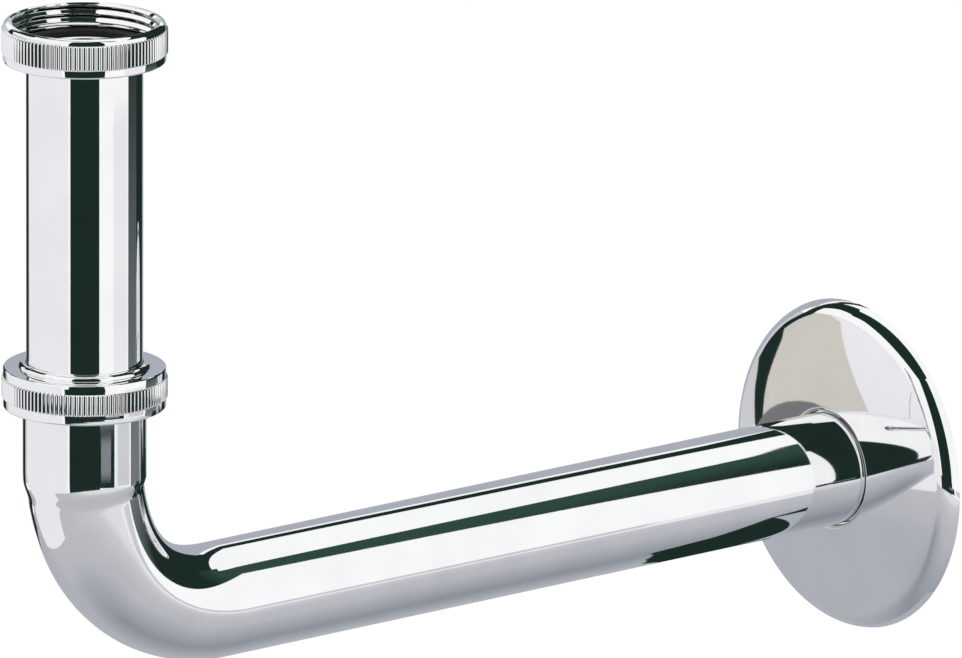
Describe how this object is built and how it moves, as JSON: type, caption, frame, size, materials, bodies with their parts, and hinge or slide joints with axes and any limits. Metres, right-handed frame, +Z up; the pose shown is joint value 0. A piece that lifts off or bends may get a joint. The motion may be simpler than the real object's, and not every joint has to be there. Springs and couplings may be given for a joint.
{
  "type": "waste connection bend",
  "caption": "Chromed right-angle waste bend: adjusting tube with knurled union nuts above a bent tube that runs to the wall through a domed rosette.",
  "frame": {"origin": "where the outlet tube's axis meets the face of the wall", "axes": "+Y along the outlet into the wall, +Z up along the drop, +X to the side"},
  "size_m": [0.094, 0.3207, 0.2183],
  "materials": {
    "tube_chrome": "polished chrome on brass tube",
    "nut_chrome": "polished chrome on turned brass",
    "rosette_chrome": "polished chrome on pressed brass sheet",
    "brass": "turned brass",
    "rubber": "black rubber",
    "slip_plastic": "pale moulded plastic"
  },
  "bodies": {
    "bend": {"bend_tube": "tube_chrome", "threaded_collar": "brass"},
    "seal": {"sealing_ring": "rubber"},
    "riser": {"adjusting_tube": "tube_chrome", "flat_gasket": "rubber"},
    "upper_nut": {"upper_union_nut": "nut_chrome"},
    "slip": {"slip_ring": "slip_plastic"},
    "lower_nut": {"lower_union_nut": "nut_chrome"},
    "rosette": {"wall_rosette": "rosette_chrome"}
  },
  "joints": [
    {"name": "tube_swivel", "type": "hinge", "parent": "bend", "child": "seal", "pos_m": [0, -0.276, 0.0696], "axis": [0, 0, 1], "continuous": true},
    {"name": "tube_height", "type": "slide", "parent": "seal", "child": "riser", "axis": [0, 0, 1], "range_m": [0, 0.015]},
    {"name": "upper_nut_turn", "type": "hinge", "parent": "riser", "child": "upper_nut", "pos_m": [0, -0.276, 0.165], "axis": [0, 0, 1], "continuous": true},
    {"name": "lower_nut_rise", "type": "slide", "parent": "bend", "child": "slip", "axis": [0, 0, 1], "range_m": [0, 0.00465]},
    {"name": "lower_nut_turn", "type": "hinge", "parent": "slip", "child": "lower_nut", "pos_m": [0, -0.276, 0.069], "axis": [0, 0, 1], "range_deg": [0, 720]},
    {"name": "rosette_slide", "type": "slide", "parent": "bend", "child": "rosette", "axis": [0, 1, 0], "range_m": [-0.2, 0]}
  ],
  "couplings": [
    {"joint": "lower_nut_rise", "follows": "lower_nut_turn", "m_per_rad": 0.00036749}
  ]
}
